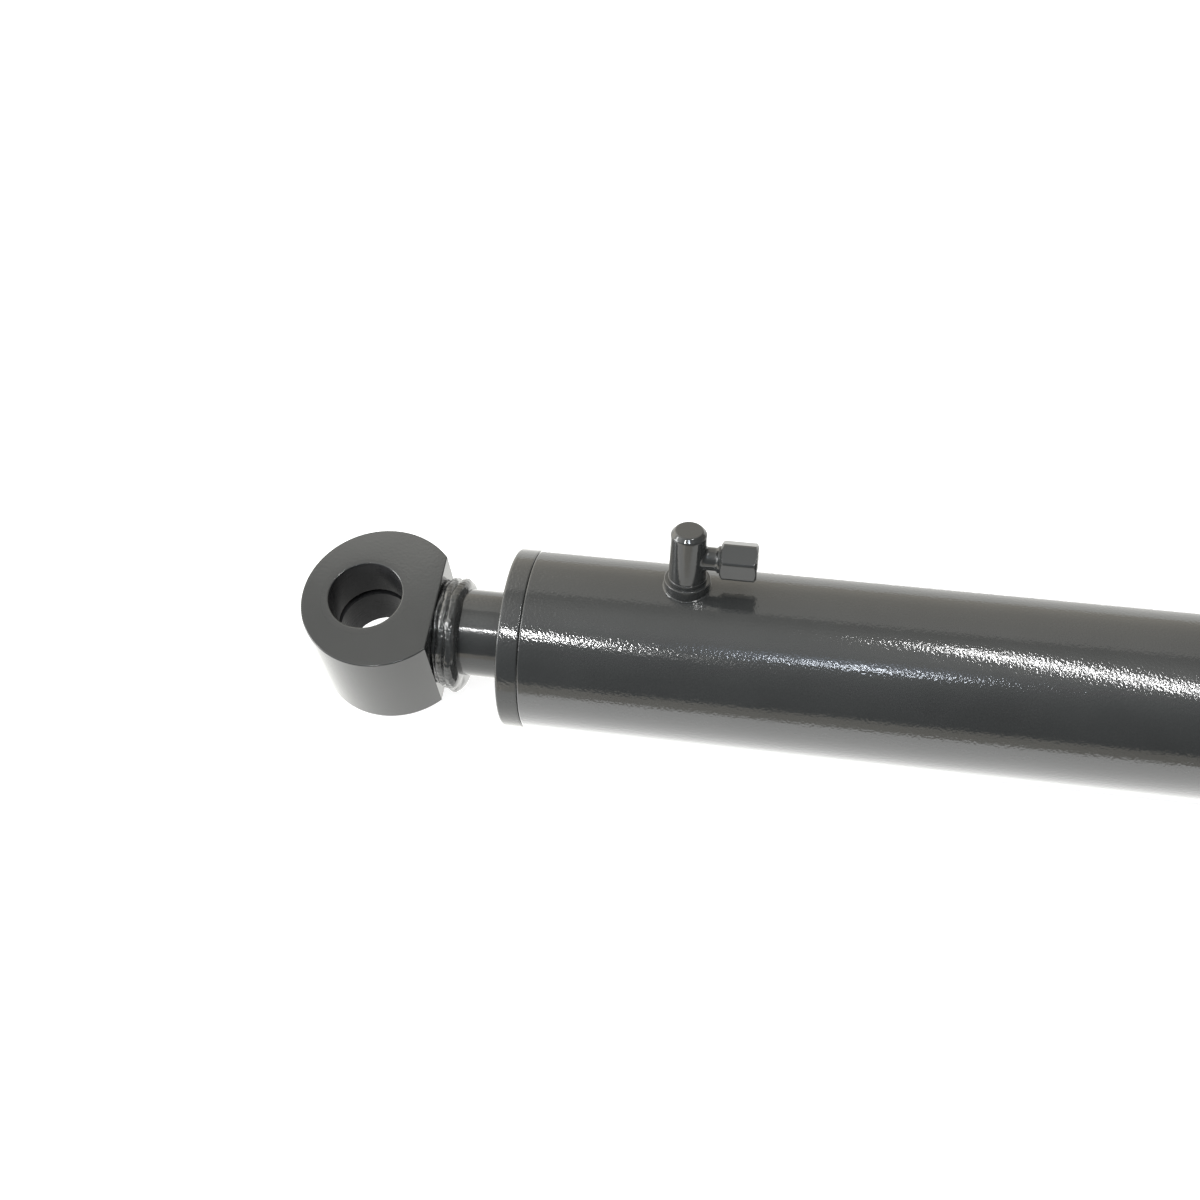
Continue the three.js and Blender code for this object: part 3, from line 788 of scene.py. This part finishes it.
def plane(name, low, high, z, material):
    mesh = bpy.data.meshes.new(name)
    corners = [(low[0], low[1], z), (high[0], low[1], z), (high[0], high[1], z), (low[0], high[1], z)]
    mesh.from_pydata(corners, [], [(0, 1, 2, 3)])
    mesh.materials.append(material)
    obj = bpy.data.objects.new(name, mesh)
    bpy.context.scene.collection.objects.link(obj)
    return obj


def paper(name, color, glow):
    """Matt paper with a faint grain, lifted by a glow so that it comes out nearly white."""
    f = Finish(name, Roughness=0.9, Emission_Color=(1, 1, 1, 1), Emission_Strength=glow)
    f.shader.inputs["Specular IOR Level"].default_value = 0.0
    tone = f.spread(f.noise(300, 2), 0, 1)
    f.color(f.mix(tone, tuple(0.995 * c for c in color), color))
    return f.material


def glowing(name, strength):
    return Finish(name, Base_Color=(0, 0, 0, 1), Emission_Color=(1.0, 1.0, 0.97, 1),
                  Emission_Strength=strength).material


def floor_and_table():
    """The floor that the camera sees, and the table that shows only in reflections."""
    floor = plane("floor", (-4, -4), (4, 4), floor_z, paper("floor_paper", (0.6, 0.6, 0.6), 0.75))
    floor.visible_glossy = False
    for name, front, back, strength in (("table_near", TABLE_FRONT, TABLE_BACK, TABLE),
                                        ("table_far", TABLE_BACK, TABLE_END, TABLE_FAR)):
        sheet = plane(name, (-2.5, front), (2.5, back), floor_z - 0.0003, glowing(name + "_light", strength))
        sheet.visible_camera = sheet.visible_diffuse = sheet.visible_shadow = False


def color_ramp(tree, value, stops, peak):
    """A colour ramp whose stops are (place from 0 to 1, colour), with every colour divided by peak."""
    ramp = tree.nodes.new("ShaderNodeValToRGB")
    elements = ramp.color_ramp.elements
    while len(elements) < len(stops):
        elements.new(0.5)
    for element, (place, color) in zip(elements, stops):
        element.position = place
        element.color = (*[c / peak for c in color], 1)
    tree.links.new(value, ramp.inputs["Fac"])
    return ramp.outputs["Color"]


def math_node(tree, operation, *values):
    node = tree.nodes.new("ShaderNodeMath")
    node.operation = operation
    for socket, value in zip(node.inputs, values):
        if isinstance(value, (int, float)):
            socket.default_value = value
        else:
            tree.links.new(value, socket)
    return node.outputs[0]


def studio():
    """World light: bright backdrop behind, darker ceiling, dark room in front; near white to the camera."""
    world = bpy.data.worlds.new("studio")
    bpy.context.scene.world = world
    world.use_nodes = True
    tree = world.node_tree
    tree.nodes.clear()

    split = tree.nodes.new("ShaderNodeSeparateXYZ")
    tree.links.new(tree.nodes.new("ShaderNodeTexCoord").outputs["Generated"], split.inputs[0])
    angle = math_node(tree, "ARCTAN2", split.outputs["Z"], split.outputs["Y"])
    over = []
    for degrees, value in ROOM:
        cool = degrees / 180
        over.append((cool, (value * (1.06 - 0.15 * cool), value, value * (0.88 + 0.20 * cool))))
    over = color_ramp(tree, math_node(tree, "DIVIDE", angle, math.pi), over, ROOM_PEAK)
    along = [((x + 1) / 2, (value,) * 3) for x, value in SIDES]
    place = math_node(tree, "MULTIPLY_ADD", split.outputs["X"], 0.5, 0.5)
    along = color_ramp(tree, place, along, SIDES_PEAK)
    walls = tree.nodes.new("ShaderNodeVectorMath")
    walls.operation = "MULTIPLY"
    tree.links.new(over, walls.inputs[0])
    tree.links.new(along, walls.inputs[1])
    brighter = tree.nodes.new("ShaderNodeVectorMath")
    brighter.operation = "SCALE"
    tree.links.new(walls.outputs[0], brighter.inputs[0])
    brighter.inputs["Scale"].default_value = SIDES_PEAK
    seen = tree.nodes.new("ShaderNodeLightPath").outputs["Is Camera Ray"]
    mix = tree.nodes.new("ShaderNodeMix")
    mix.data_type = "RGBA"
    tree.links.new(seen, mix.inputs["Factor"])
    tree.links.new(brighter.outputs[0], mix.inputs["A"])
    mix.inputs["B"].default_value = (*[BACKDROP / ROOM_PEAK] * 3, 1)
    background = tree.nodes.new("ShaderNodeBackground")
    tree.links.new(mix.outputs["Result"], background.inputs["Color"])
    background.inputs["Strength"].default_value = ROOM_PEAK
    output = tree.nodes.new("ShaderNodeOutputWorld")
    tree.links.new(background.outputs[0], output.inputs["Surface"])


def area_light(name, place, size, radiance, color=(1, 1, 1)):
    """A rectangle that shines along its own -Z. place is its matrix, and size its width and height."""
    data = bpy.data.lights.new(name, "AREA")
    data.shape = "RECTANGLE"
    data.size, data.size_y = size
    data.energy = radiance * math.pi * data.size * data.size_y
    data.color = color
    obj = bpy.data.objects.new(name, data)
    bpy.context.scene.collection.objects.link(obj)
    obj.matrix_world = place
    obj.visible_camera = False
    return obj


def tube_light(name, start, end, width, radiance, color=(1, 1, 1), z=LAMP_Z):
    """A strip light between two points, facing down. A point is (x from the gland's face, y)."""
    a, b = Vector((x0 + start[0], start[1], z)), Vector((x0 + end[0], end[1], z))
    along = (b - a).normalized()
    across = Vector((0, 0, 1)).cross(along).normalized()
    turn = Matrix((along, across, along.cross(across))).transposed().to_4x4()
    return area_light(name, Matrix.Translation((a + b) / 2) @ turn, ((b - a).length, width), radiance, color)


def facing_light(name, place, size, radiance):
    """A square light at a place, turned towards the gland."""
    turn = (Vector((x0, 0, 0)) - Vector(place)).to_track_quat("-Z", "Y").to_matrix().to_4x4()
    return area_light(name, Matrix.Translation(place) @ turn, (size, size), radiance)


def table_glow(name, low, high, radiance, receiver):
    """A bright part of the white table, which only one piece mirrors."""
    centre = ((low[0] + high[0]) / 2, (low[1] + high[1]) / 2, floor_z + 0.0003)
    place = Matrix.Translation(centre) @ Matrix.Rotation(math.pi, 4, "X")
    obj = area_light(name, place, (high[0] - low[0], high[1] - low[1]), radiance)
    obj.visible_diffuse = False
    shown_in = bpy.data.collections.new(name + "_receiver")
    shown_in.objects.link(receiver)
    obj.light_linking.receiver_collection = shown_in


def lamps():
    """Ceiling tubes that draw the streaks on the barrel, a window between them, and soft fill."""
    cool, blue = (0.86, 0.92, 1.0), (0.62, 0.74, 1.0)
    tube_light("lamp_front_left", (-0.47, -0.68), (-0.24, -1.01), 0.035, 140)
    tube_light("lamp_front_dim", (-0.24, -1.01), (-0.02, -1.235), 0.03, 7)
    tube_light("lamp_front_right", (0.12, -0.81), (0.42, -0.84), 0.03, 60, cool)
    tube_light("window", (0.03, -0.74), (0.42, -0.74), 0.34, 1.1, blue, WINDOW_Z)
    tube_light("lamp_right", (0.40, 0.37), (0.95, -0.54), 0.035, 80)
    ceiling = area_light("soft_fill", Matrix.Translation((x0 + 0.3, 0.3, 2.4)), (3.0, 2.4), 0.9)
    facing_light("softbox_left", (x0 - 1.6, -0.25, 0.75), 0.8, 9)
    low_fill = facing_light("low_fill", (x0 - 0.6, -0.7, 0.3), 0.5, 6)
    ceiling.visible_glossy = low_fill.visible_glossy = False
    table_glow("table_below_barrel", (x0 - 0.3, TABLE_FRONT), (0.3, TABLE_BACK), TABLE_GLOW, tube)


def aim_camera():
    data = bpy.data.cameras.new("camera")
    data.lens, data.sensor_width = CAMERA_LENS, 36.0
    data.clip_start, data.clip_end = 0.01, 100
    camera = bpy.data.objects.new("camera", data)
    bpy.context.scene.collection.objects.link(camera)
    yaw, pitch, roll = CAMERA_TURN
    forward = Vector((math.sin(yaw) * math.cos(pitch), math.cos(yaw) * math.cos(pitch), -math.sin(pitch)))
    level = Vector((math.cos(yaw), -math.sin(yaw), 0))
    upward = level.cross(forward)
    right = level * math.cos(roll) + upward * math.sin(roll)
    upward = upward * math.cos(roll) - level * math.sin(roll)
    turn = Matrix((right, upward, -forward)).transposed().to_4x4()
    camera.matrix_world = Matrix.Translation(CAMERA_AT) @ turn
    bpy.context.scene.camera = camera


floor_and_table()
studio()
lamps()
aim_camera()
bpy.context.scene.view_settings.view_transform = "Standard"
